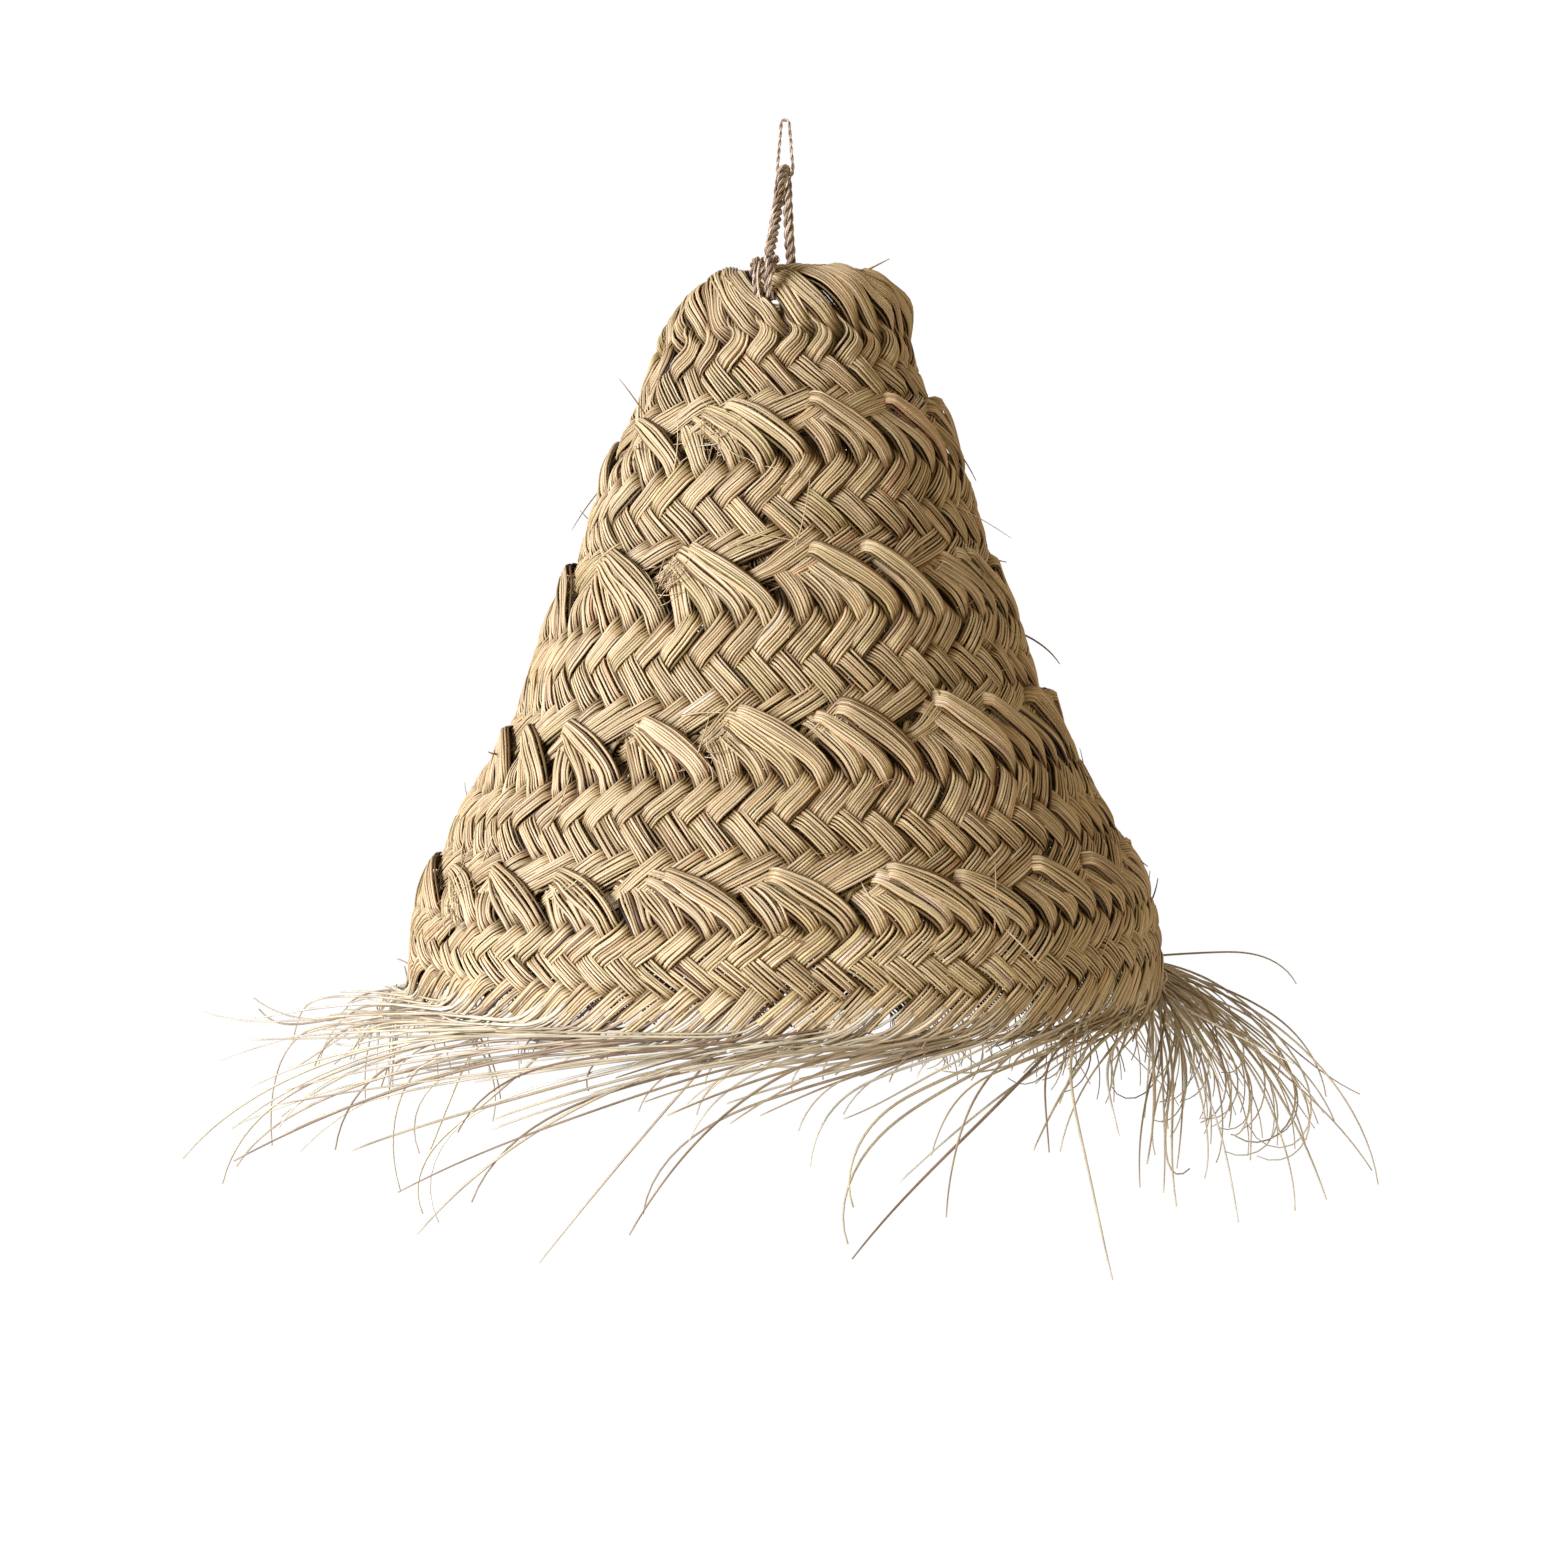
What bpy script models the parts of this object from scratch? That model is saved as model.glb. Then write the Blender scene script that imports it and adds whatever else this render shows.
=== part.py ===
"""Tall cone of plaited esparto grass, hung by a rope loop through its crown.

Five closed rings of flat plait are stacked from the crown to the rim, and a cord
sews each ring to the next. The strand ends stand out below the rim as a fringe.
Metres, +Z up. The origin is inside the top bend of the twine that it hangs by.
"""

import math

import bmesh
import bpy
from mathutils import Vector

# Driving dimensions: the outer surface of the cone.
RIM_RADIUS = 0.2060
RIM_Z = -0.4640
CROWN_TOP_Z = -0.0905
CROWN_HOLE_RADIUS = 0.0400
SHOULDER_RADIUS = 0.0655
CONE_LINE = ((0.0700, -0.1260), (0.0895, -0.1760), (0.1155, -0.2450), (0.1370, -0.3000),
             (0.1605, -0.3550), (0.1785, -0.3820), (0.1905, -0.4100), (0.2010, -0.4400))

# The plait rings. A seam is a height and how far it climbs towards +X.
SEAMS = ((-0.1775, 0.0080), (-0.2550, 0.0030), (-0.3350, 0.0100), (-0.4080, 0.0035))
PLAIT_THICKNESS = 0.0060
UPPER_EDGE_LIP = 0.0034
BELLY = 0.0012
SEAM_GAP = 0.0036
SEAM_CORD_RADIUS = 0.0015
BINDING_RADIUS = 0.0032
CLEARANCE = 0.0003

# The rope loop, its two hitches and the twine.
ROPE_RADIUS = 0.0030
ROPE_BEND = 0.0100
HITCH_RADIUS = 0.0075
HITCH_CORD_RADIUS = 0.0027
HITCH_REACH = 0.0580
HITCH_Z = -0.1010
HITCH_PLACES = (("front_hitch", -0.0095, -1), ("rear_hitch", 0.0055, 1))
TWINE_RADIUS = 0.0010
TWINE_LEG_X = 0.0043
TWINE_TOP_LEG_X = 0.0022
TWINE_LENGTH_DOWN = 0.0305

# The fringe.
TUFT_COUNT = 30
TUFT_LENGTH = 0.160
TUFT_ROOT_RADIUS = 0.0040
TUFT_TIP_SHARE = 0.35
TUFT_OUTWARD = math.radians(33)
TUFT_DROOP = 0.092
TUFT_ROOT_INSET = 0.0030

# How finely round shapes are cut.
STEPS_PER_TURN = 40
ROWS_ACROSS = 4
ROWS_ON_CROWN = 8
TUFT_POINTS = 8
BEND_POINTS = 8


def clear_scene():
    for item in list(bpy.data.objects):
        bpy.data.objects.remove(item, do_unlink=True)


def make_material(name, colour, roughness):
    material = bpy.data.materials.new(name)
    material.use_nodes = True
    shader = material.node_tree.nodes["Principled BSDF"]
    shader.inputs["Base Color"].default_value = (*colour, 1.0)
    shader.inputs["Roughness"].default_value = roughness
    shader.inputs["Metallic"].default_value = 0.0
    return material


def add_object(name, data, material):
    item = bpy.data.objects.new(name, data)
    bpy.context.scene.collection.objects.link(item)
    data.materials.append(material)
    return item


def polar(radius, azimuth, height):
    return Vector((radius * math.cos(azimuth), radius * math.sin(azimuth), height))


def smooth_line(points, per_span):
    """A smooth line through the points, which need not be evenly spaced, as a list of vectors."""
    spans = [(b - a).length for a, b in zip(points, points[1:])]
    runs = [(b - a) / span for a, b, span in zip(points, points[1:], spans)]
    slopes = [runs[0]]
    for index in range(1, len(runs)):
        before, after = spans[index - 1], spans[index]
        slopes.append((runs[index - 1] * after + runs[index] * before) / (before + after))
    slopes.append(runs[-1])
    line = []
    for index, span in enumerate(spans):
        for step in range(per_span):
            t = step / per_span
            line.append(
                points[index] * (2 * t ** 3 - 3 * t ** 2 + 1)
                + slopes[index] * span * (t ** 3 - 2 * t ** 2 + t)
                + points[index + 1] * (3 * t ** 2 - 2 * t ** 3)
                + slopes[index + 1] * span * (t ** 3 - t ** 2)
            )
    line.append(points[-1])
    return line


class Profile:
    """The outline of the outer surface, from the hole in the crown out and down to the rim."""

    SAMPLES_PER_SPAN = 24

    def __init__(self):
        corners = [
            (CROWN_HOLE_RADIUS, CROWN_TOP_Z),
            (0.75 * SHOULDER_RADIUS, CROWN_TOP_Z - 0.0018),
            (0.91 * SHOULDER_RADIUS, CROWN_TOP_Z - 0.0095),
            (SHOULDER_RADIUS, CROWN_TOP_Z - 0.0200),
            *CONE_LINE,
            (RIM_RADIUS, RIM_Z),
        ]
        self.line = smooth_line([Vector(corner) for corner in corners], self.SAMPLES_PER_SPAN)
        self.along = [0.0]
        for a, b in zip(self.line, self.line[1:]):
            self.along.append(self.along[-1] + (b - a).length)
        self.length = self.along[-1]

    def at(self, distance):
        """The point (radius, z) and the outward direction at a distance along the outline."""
        distance = min(max(distance, 0.0), self.length)
        span = 0
        while span < len(self.along) - 2 and self.along[span + 1] < distance:
            span += 1
        share = (distance - self.along[span]) / (self.along[span + 1] - self.along[span])
        a, b = self.line[span], self.line[span + 1]
        run = (b - a).normalized()
        return a.lerp(b, share), Vector((-run.y, run.x))

    def distance_of_height(self, height):
        """The distance along the outline at which the surface is this high."""
        low, high = 0.0, self.length
        for _ in range(40):
            middle = (low + high) / 2
            if self.at(middle)[0].y > height:
                low = middle
            else:
                high = middle
        return (low + high) / 2


def seam_distance(profile, seam, azimuth):
    """How far along the outline a seam lies at an azimuth. Before the first is the crown's edge."""
    if seam < 0:
        return -SEAM_GAP / 2
    if seam == len(SEAMS):
        return profile.length + SEAM_GAP / 2
    height, climb = SEAMS[seam]
    return profile.distance_of_height(height + climb * math.cos(azimuth))


def surface_point(profile, distance, depth, azimuth):
    """A point this deep under the outer surface."""
    place, outward = profile.at(distance)
    place = place - outward * depth
    return polar(place.x, azimuth, place.y)


def edge_rise(share):
    """How far a ring stands out, from its upper edge at 0 to its lower edge at 1."""
    return UPPER_EDGE_LIP * (1 - 2 * share) + 4 * BELLY * share * (1 - share)


def crown_rise(share):
    """The first ring stands out less and less towards its lower edge."""
    return -UPPER_EDGE_LIP * share ** 3


def closed_mesh(name, rings):
    """A mesh of rings of points, each joined to the next and the last to the first."""
    mesh = bmesh.new()
    loops = [[mesh.verts.new(place) for place in ring] for ring in rings]
    for here, there in zip(loops, loops[1:] + loops[:1]):
        for index, corner in enumerate(here):
            after = (index + 1) % len(here)
            mesh.faces.new((corner, here[after], there[after], there[index]))
    bmesh.ops.recalc_face_normals(mesh, faces=mesh.faces)
    data = bpy.data.meshes.new(name)
    mesh.to_mesh(data)
    mesh.free()
    data.shade_smooth()
    data.set_sharp_from_angle(angle=math.radians(50))
    return data


def make_plait_ring(profile, material, number):
    """One ring of plait, from the seam above it to the seam below it."""
    rise = crown_rise if number == 1 else edge_rise
    rows = ROWS_ON_CROWN if number == 1 else ROWS_ACROSS
    rings = []
    for step in range(STEPS_PER_TURN):
        azimuth = 2 * math.pi * step / STEPS_PER_TURN
        upper = seam_distance(profile, number - 2, azimuth) + SEAM_GAP / 2
        lower = seam_distance(profile, number - 1, azimuth) - SEAM_GAP / 2
        outer, inner = [], []
        for row in range(rows + 1):
            share = row / rows
            distance = upper + (lower - upper) * share
            outer.append(surface_point(profile, distance, -rise(share), azimuth))
            inner.append(surface_point(profile, distance, PLAIT_THICKNESS - rise(share), azimuth))
        rings.append(outer + inner[::-1])
    name = f"plait_ring_{number}"
    return add_object(name, closed_mesh(name, rings), material)


def add_tube(name, material, points, radius, sides_level, taper=None, closed=False):
    """A round tube along the points. taper gives each point's share of the radius."""
    data = bpy.data.curves.new(name, "CURVE")
    data.dimensions = "3D"
    data.bevel_depth = radius
    data.bevel_resolution = sides_level
    data.use_fill_caps = not closed
    spline = data.splines.new("POLY")
    spline.points.add(len(points) - 1)
    spline.use_cyclic_u = closed
    for index, place in enumerate(points):
        spline.points[index].co = (*place, 1.0)
        spline.points[index].radius = taper(index / (len(points) - 1)) if taper else 1.0
    return add_object(name, data, material)


def make_seam_cords(profile, material):
    """The cord in each seam, which sews a ring to the ring above it."""
    for seam in range(len(SEAMS)):
        points = []
        for step in range(STEPS_PER_TURN):
            azimuth = 2 * math.pi * step / STEPS_PER_TURN
            distance = seam_distance(profile, seam, azimuth)
            points.append(surface_point(profile, distance, PLAIT_THICKNESS / 2, azimuth))
        add_tube(f"seam_cord_{seam + 1}", material, points, SEAM_CORD_RADIUS, 0, closed=True)


def make_binding(profile, material):
    """The bundle that lies round the hole in the crown."""
    edge = surface_point(profile, 0.0, PLAIT_THICKNESS, 0.0)
    radius = edge.x - BINDING_RADIUS - CLEARANCE
    height = CROWN_TOP_Z - PLAIT_THICKNESS / 2
    points = [polar(radius, 2 * math.pi * step / STEPS_PER_TURN, height)
              for step in range(STEPS_PER_TURN)]
    add_tube("crown_binding", material, points, BINDING_RADIUS, 1, closed=True)


def hitch_rings(side_x, side, cord_radius):
    """A ring of cord standing upright, that runs through the crown's wall and round its shoulder."""
    centre = Vector((side_x, side * HITCH_REACH, HITCH_Z))
    outward = Vector((0, side, 0))
    up = Vector((0, 0, 1))
    rings = []
    for step in range(16):
        turn = 2 * math.pi * step / 16
        arm = outward * math.cos(turn) + up * math.sin(turn)
        ring = []
        for part in range(8):
            angle = 2 * math.pi * part / 8
            reach = HITCH_RADIUS + cord_radius * math.cos(angle)
            ring.append(centre + arm * reach + outward.cross(up) * cord_radius * math.sin(angle))
        rings.append(ring)
    return rings


def make_hitches(crown, material):
    """Two rope hitches, and the holes that they pass through in the first ring."""
    for name, side_x, side in HITCH_PLACES:
        data = closed_mesh(name, hitch_rings(side_x, side, HITCH_CORD_RADIUS))
        add_object(name, data, material)
        cutter_rings = hitch_rings(side_x, side, HITCH_CORD_RADIUS + 2 * CLEARANCE)
        cutter = add_object(name + "_cutter", closed_mesh(name + "_cutter", cutter_rings), material)
        cutter.hide_render = True
        cutter.display_type = "WIRE"
        cut = crown.modifiers.new(name, "BOOLEAN")
        cut.operation = "DIFFERENCE"
        cut.object = cutter


def rope_route():
    """From the front hitch up over the twine and down to the rear hitch."""
    top_z = ROPE_RADIUS + CLEARANCE + TWINE_RADIUS - TWINE_LENGTH_DOWN
    legs = []
    for _, side_x, side in HITCH_PLACES:
        foot = Vector((side_x, side * HITCH_REACH, HITCH_Z + HITCH_RADIUS))
        lean = (Vector((0, 0, top_z)) - foot).normalized()
        start = foot + lean * (HITCH_CORD_RADIUS + ROPE_RADIUS + 2 * CLEARANCE)
        shoulder = Vector((side_x * 0.12, side * ROPE_BEND * 0.86, top_z - ROPE_BEND * 0.42))
        belly = start.lerp(shoulder, 0.5) - Vector((0, side * 0.0012, 0.0012))
        legs.append([start, belly, shoulder])
    route = legs[0] + [Vector((0, 0, top_z))] + legs[1][::-1]
    return smooth_line(route, 6)


def half_turn(radius, height, side):
    """Points round half a circle in the XZ plane, from -X to +X over the top or under."""
    points = []
    for step in range(1, BEND_POINTS):
        turn = math.pi * step / BEND_POINTS
        points.append(Vector((-math.cos(turn) * radius, 0, height + side * math.sin(turn) * radius)))
    return points


def make_twine(material):
    """A thin twine loop: two legs, a bend over the hook at the top and one under the rope."""
    high = -TWINE_TOP_LEG_X + TWINE_RADIUS
    low = TWINE_LEG_X - TWINE_LENGTH_DOWN
    over = half_turn(TWINE_TOP_LEG_X, high, 1)
    under = half_turn(TWINE_LEG_X, low, -1)
    right = [Vector((TWINE_TOP_LEG_X, 0, high)), Vector((TWINE_LEG_X, 0, low))]
    left = [Vector((-TWINE_LEG_X, 0, low)), Vector((-TWINE_TOP_LEG_X, 0, high))]
    points = over + right + under[::-1] + left
    add_tube("twine_loop", material, points, TWINE_RADIUS, 2, closed=True)


def tuft_point(azimuth, share):
    """A point along one tuft, which leaves the rim sideways, outwards and down."""
    root = polar(RIM_RADIUS - TUFT_ROOT_INSET, azimuth,
                 RIM_Z - TUFT_ROOT_RADIUS - 2 * CLEARANCE)
    sideways = Vector((math.sin(azimuth), -math.cos(azimuth), 0))
    outward = Vector((math.cos(azimuth), math.sin(azimuth), 0))
    run = sideways * math.cos(TUFT_OUTWARD) + outward * math.sin(TUFT_OUTWARD)
    return root + run * TUFT_LENGTH * share - Vector((0, 0, TUFT_DROOP * share ** 2))


def tuft_taper(share):
    return 1 - (1 - TUFT_TIP_SHARE) * share


def make_fringe(material):
    for tuft in range(TUFT_COUNT):
        azimuth = 2 * math.pi * (tuft + 0.5) / TUFT_COUNT
        points = [tuft_point(azimuth, index / (TUFT_POINTS - 1)) for index in range(TUFT_POINTS)]
        add_tube(f"fringe_tuft_{tuft + 1:02d}", material, points, TUFT_ROOT_RADIUS, 1, tuft_taper)


def main():
    clear_scene()
    straw = make_material("esparto_plait", (0.58, 0.45, 0.24), 0.6)
    cord = make_material("esparto_cord", (0.42, 0.31, 0.16), 0.75)
    rope = make_material("twisted_rope", (0.24, 0.17, 0.11), 0.85)
    twine = make_material("pale_twine", (0.66, 0.50, 0.36), 0.8)
    fringe = make_material("fringe_blades", (0.50, 0.41, 0.25), 0.6)
    profile = Profile()
    rings = [make_plait_ring(profile, straw, number + 1) for number in range(len(SEAMS) + 1)]
    make_seam_cords(profile, cord)
    make_binding(profile, straw)
    make_hitches(rings[0], rope)
    add_tube("hanging_rope", rope, rope_route(), ROPE_RADIUS, 2)
    make_twine(twine)
    make_fringe(fringe)


main()
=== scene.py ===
"""The looks of the tall plaited cone: the blades of its plait and fringe, its rope and twine."""

import math

import bpy
import numpy as np
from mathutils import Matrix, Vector


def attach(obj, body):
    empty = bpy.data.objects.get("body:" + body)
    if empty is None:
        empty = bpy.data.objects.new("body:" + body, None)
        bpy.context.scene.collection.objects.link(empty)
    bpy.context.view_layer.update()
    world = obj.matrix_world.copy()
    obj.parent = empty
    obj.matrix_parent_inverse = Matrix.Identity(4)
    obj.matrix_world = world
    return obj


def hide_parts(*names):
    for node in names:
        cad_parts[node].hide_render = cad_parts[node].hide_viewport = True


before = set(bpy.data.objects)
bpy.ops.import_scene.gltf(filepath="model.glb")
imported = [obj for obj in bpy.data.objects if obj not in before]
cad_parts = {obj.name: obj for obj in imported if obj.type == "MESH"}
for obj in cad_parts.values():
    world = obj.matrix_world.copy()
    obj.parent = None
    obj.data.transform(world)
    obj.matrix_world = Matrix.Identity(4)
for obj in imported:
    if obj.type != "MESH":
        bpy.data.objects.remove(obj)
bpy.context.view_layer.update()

# The wall of the cone, as in the CAD.
RIM_RADIUS = 0.2060
RIM_Z = -0.4640
CROWN_TOP_Z = -0.0905
CROWN_HOLE_RADIUS = 0.0400
SHOULDER_RADIUS = 0.0655
CONE_LINE = ((0.0700, -0.1260), (0.0895, -0.1760), (0.1155, -0.2450), (0.1370, -0.3000),
             (0.1605, -0.3550), (0.1785, -0.3820), (0.1905, -0.4100), (0.2010, -0.4400))
SEAMS = ((-0.1775, 0.0080), (-0.2550, 0.0030), (-0.3350, 0.0100), (-0.4080, 0.0035))
UPPER_EDGE_LIP = 0.0036
BELLY = 0.0012
PLAIT_THICKNESS = 0.0060
CROWN_LEAN = 0.0070

# The rope, its hitches and the twine, as in the CAD.
CLEARANCE = 0.0003
ROPE_RADIUS = 0.0030
ROPE_LAY = 0.0185
ROPE_BEND = 0.0100
HITCH_RADIUS = 0.0075
HITCH_CORD_RADIUS = 0.0027
HITCH_REACH = 0.0580
HITCH_Z = -0.1010
HITCH_PLACES = (("front", -0.0095, -1), ("rear", 0.0055, 1))
TWINE_RADIUS = 0.0010
TWINE_LEG_X = 0.0043
TWINE_TOP_LEG_X = 0.0022
TWINE_LENGTH_DOWN = 0.0305

# How each cord is laid up: its plies, how far they lie from its middle and their lay, then the
# strands of a ply, how far they lie from the ply's middle, their lay and their radius.
ROPE_TWIST = (3, 0.00158, ROPE_LAY, 7, 0.00104, 0.060, 0.00052)
TWINE_TWIST = (2, 0.00048, 0.0090, 4, 0.00030, 0.0140, 0.00030)
HITCH_TWIST = (3, 0.00120, 0.0160, 6, 0.00080, 0.045, 0.00042)
CORD_SIDES = 5
# Where the hitches press the crown in: azimuths and half width, in degrees, and depth.
HITCH_TURNS = (-99.3, 90.0)
HITCH_PRESS_WIDTH = 15.0
HITCH_PRESS = 0.0026

# The plait: bundles of each slant in each ring, and the blades in one bundle. Two spare blades
# lie lower, one at each side of it.
BUNDLES = (30, 38, 54, 68, 80)
BLADES = 8
SPARE_BLADES = 2
BLADE_RADIUS = 0.00076
BLADE_FLATNESS = 0.86
BLADE_SPACING = 0.00134
PATH_POINTS = 76
# The sides of a blade, and of the thinner strands of the seams and the loose ends.
BLADE_SIDES = 5
THIN_SIDES = 4
# About how far apart two bundles of one slant lie, round the cone.
USUAL_PITCH = 0.0152
# A piece holds no more bundles than this, so that it stays small enough to export whole.
SECTOR_BUNDLES = 25
# How far a bundle rises and dips at its crossings, and how much higher its middle lies.
BUNDLE_RISE = 0.0018
BUNDLE_CROWN = 0.0009
# How far a blade and its whole bundle stray sideways.
BLADE_WANDER = 0.00046
BUNDLE_SWAY = 0.0010
# How much of a bundle's path it takes to turn to the other slant, each way from the turn.
TURNING = 0.0060
# How far down the ring each of its four rows of weave begins, as a share of its width.
ROW_EDGES = (0.0, 0.31, 0.54, 0.76, 1.0)
CROWN_ROW_EDGES = (0.0, 0.42, 0.63, 0.82, 1.0)
# How far down the outline the plait of the crown begins, and by how many bundles its upper edge
# is swept to one side.
CROWN_EDGE_TUCK = 0.0090
CROWN_SWEEP = 2.0
# How far a ring's upper edge reaches past its seam, and its lower edge past the next one, and how
# much this varies along a group of bundles.
SEAM_TUCK = 0.0062
SEAM_LAP = 0.0026
SCALLOP = 0.0016
# Neighbouring bundles gather in groups at the seams: bundles in one, and how much of the group's
# width they move at most.
GROUP = 2.7
GATHER_TOP = 0.46
GATHER_BOTTOM = 0.26

# The coils round the hole in the crown: radius, height, thickness and lay.
BINDING_COILS = ((0.0385, -0.0030, 0.0023, 0.034), (0.0432, -0.0018, 0.0022, 0.041),
                 (0.0478, -0.0026, 0.0020, 0.036))
BINDING_STRANDS = 8
BINDING_STRAND_RADIUS = 0.00086
BINDING_POINTS = 241
# The cord along a seam: the length of one turn, how far it swings along the outline and in and
# out of the wall, and its strands.
SEAM_STITCH = 0.0105
SEAM_SWING = 0.0032
SEAM_DEPTH = 0.0024
SEAM_STRANDS = 3
SEAM_STRAND_RADIUS = 0.00075
SEAM_POINTS = 900

# The loose blades of each ring, and how many points one has.
STRAY_BLADES = (26, 34, 40, 44, 40)
STRAY_POINTS = 9
# Frayed spots: the seam above each, its azimuth in degrees and how far below the seam it is.
TANGLES = ((1, -121, 0.010), (0, -112, 0.008), (2, -106, 0.009), (3, -148, 0.007), (1, -38, 0.008),
           (0, 24, 0.009), (2, 61, 0.008), (1, 118, 0.011), (3, 95, 0.007), (2, 171, 0.009))
TANGLE_FIBRES = 22

# The fringe, whose pieces stand for the CAD's tufts.
FRINGE_BLADES = 760
FRINGE_POINTS = 30
FRINGE_PIECES = 4
TUFTS = 30
# Neighbouring blades of the fringe that leave the rim together.
LOCK = 5
# The share of the front's blades that hang down far below the others.
LONG_SHARE = 0.055
# The limits that the fringe keeps to, and how often it may be drawn in to meet them.
FRINGE_RIGHT = 0.305
FRINGE_REACH = 0.325
FRINGE_LOW = -0.568
FRINGE_TRIES = 24

# Straw's noise: stains for each metre of a blade, how far apart two blades' stains are read, and
# the scale of the fine grain.
STAIN_SCALE = 45.0
STAIN_SPREAD = 913.0
GRAIN_SCALE = 900.0

# The studio. The camera looks this many degrees below the level.
FLOOR_HALF_WIDTH = 6.0
FLOOR_Z = -1.35
CAMERA_PLACE = (-0.0066, -0.99, -0.341)
CAMERA_DIP = 0.89
CAMERA_LENS = 41.9
# Name, place, target, size, power in watts and colour.
LIGHTS = (
    ("key", (-2.0, -1.42, 0.12), (0, 0, -0.30), 1.1, 122, (0.88, 0.98, 1.25)),
    ("fill", (1.7, -1.7, 0.0), (0, 0, -0.30), 1.6, 13, (1.0, 0.85, 0.60)),
    ("back", (0.4, 2.2, 0.9), (0, 0, -0.28), 1.6, 16, (1.0, 0.98, 0.95)),
)


def smooth(low, high, value):
    """A smooth step from 0 at low to 1 at high, which may be the smaller of the two."""
    share = np.clip((value - low) / (high - low), 0.0, 1.0)
    return share * share * (3 - 2 * share)


def smooth_line(points, per_span):
    """A smooth line through the points, which need not be evenly spaced, as an array."""
    points = np.array([tuple(point) for point in points], float)
    spans = np.linalg.norm(np.diff(points, axis=0), axis=1)[:, None]
    runs = np.diff(points, axis=0) / spans
    inner = (runs[:-1] * spans[1:] + runs[1:] * spans[:-1]) / (spans[1:] + spans[:-1])
    slopes = np.concatenate([runs[:1], inner, runs[-1:]])
    line = []
    for index, span in enumerate(spans):
        for step in range(per_span):
            t = step / per_span
            line.append(
                points[index] * (2 * t ** 3 - 3 * t ** 2 + 1)
                + slopes[index] * span * (t ** 3 - 2 * t ** 2 + t)
                + points[index + 1] * (3 * t ** 2 - 2 * t ** 3)
                + slopes[index + 1] * span * (t ** 3 - t ** 2)
            )
    line.append(points[-1])
    return np.array(line)


def distances_along(points):
    """How far along its line each point lies."""
    return np.concatenate([[0], np.cumsum(np.linalg.norm(np.diff(points, axis=0), axis=1))])


def even_line(points, count):
    """The line through the points, as this many points at even distances."""
    along = distances_along(points)
    places = np.linspace(0, along[-1], count)
    return np.stack([np.interp(places, along, points[:, axis]) for axis in range(points.shape[1])],
                    axis=1)


class Wall:
    """The outer surface of the cone, measured down its outline from the hole in the crown."""

    BEYOND = 0.03  # how far the outline goes straight on past its two ends

    def __init__(self):
        line = smooth_line([
            (CROWN_HOLE_RADIUS, CROWN_TOP_Z),
            (0.75 * SHOULDER_RADIUS, CROWN_TOP_Z - 0.0018),
            (0.91 * SHOULDER_RADIUS, CROWN_TOP_Z - 0.0095),
            (SHOULDER_RADIUS, CROWN_TOP_Z - 0.0200),
            *CONE_LINE,
            (RIM_RADIUS, RIM_Z),
        ], 24)
        steps = np.linalg.norm(np.diff(line, axis=0), axis=1)
        along = np.concatenate([[0], np.cumsum(steps)])
        self.length = along[-1]
        first = (line[1] - line[0]) / steps[0]
        last = (line[-1] - line[-2]) / steps[-1]
        line = np.concatenate([[line[0] - first * self.BEYOND], line,
                               [line[-1] + last * self.BEYOND]])
        self.along = np.concatenate([[-self.BEYOND], along, [self.length + self.BEYOND]])
        self.radius = line[:, 0]
        self.height = line[:, 1]
        run = np.gradient(line, self.along, axis=0)
        run /= np.linalg.norm(run, axis=1)[:, None]
        self.out_r = -run[:, 1]
        self.out_z = run[:, 0]

    def radius_at(self, distance):
        return np.interp(distance, self.along, self.radius)

    def distance_of_height(self, height):
        falling = np.minimum.accumulate(self.height)
        return np.interp(-height, -falling, self.along)

    def points(self, distance, azimuth, rise):
        """Points this far above the outer surface, and the outward direction at each."""
        out_r = np.interp(distance, self.along, self.out_r)
        out_z = np.interp(distance, self.along, self.out_z)
        radius = np.interp(distance, self.along, self.radius) + out_r * rise
        height = np.interp(distance, self.along, self.height) + out_z * rise
        turn_x, turn_y = np.cos(azimuth), np.sin(azimuth)
        place = np.stack([radius * turn_x, radius * turn_y, height], axis=-1)
        place[..., 0] += CROWN_LEAN * smooth(-0.128, -0.094, place[..., 2])
        outward = np.stack([out_r * turn_x, out_r * turn_y, out_z], axis=-1)
        return place, outward


wall = Wall()


def seam_distance(seam, azimuth):
    """How far along the outline a seam lies. The crown's edge is seam -1, and the rim is the one
    after the last."""
    if seam < 0:
        return np.full_like(azimuth, CROWN_EDGE_TUCK)
    if seam == len(SEAMS):
        return np.full_like(azimuth, wall.length)
    height, climb = SEAMS[seam]
    return wall.distance_of_height(height + climb * np.cos(azimuth))


# ---------------------------------------------------------------- meshes


def looks_of(tint, depth, along):
    """What a blade's material reads at each point.

    tint is a random number for the blade, depth goes from 0 in a hollow to 1 in the open and sets
    the shade painted into its colour, and along is how far along the blade the point is, in metres.
    """
    return np.stack(np.broadcast_arrays(tint, depth, along), axis=-1)


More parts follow.
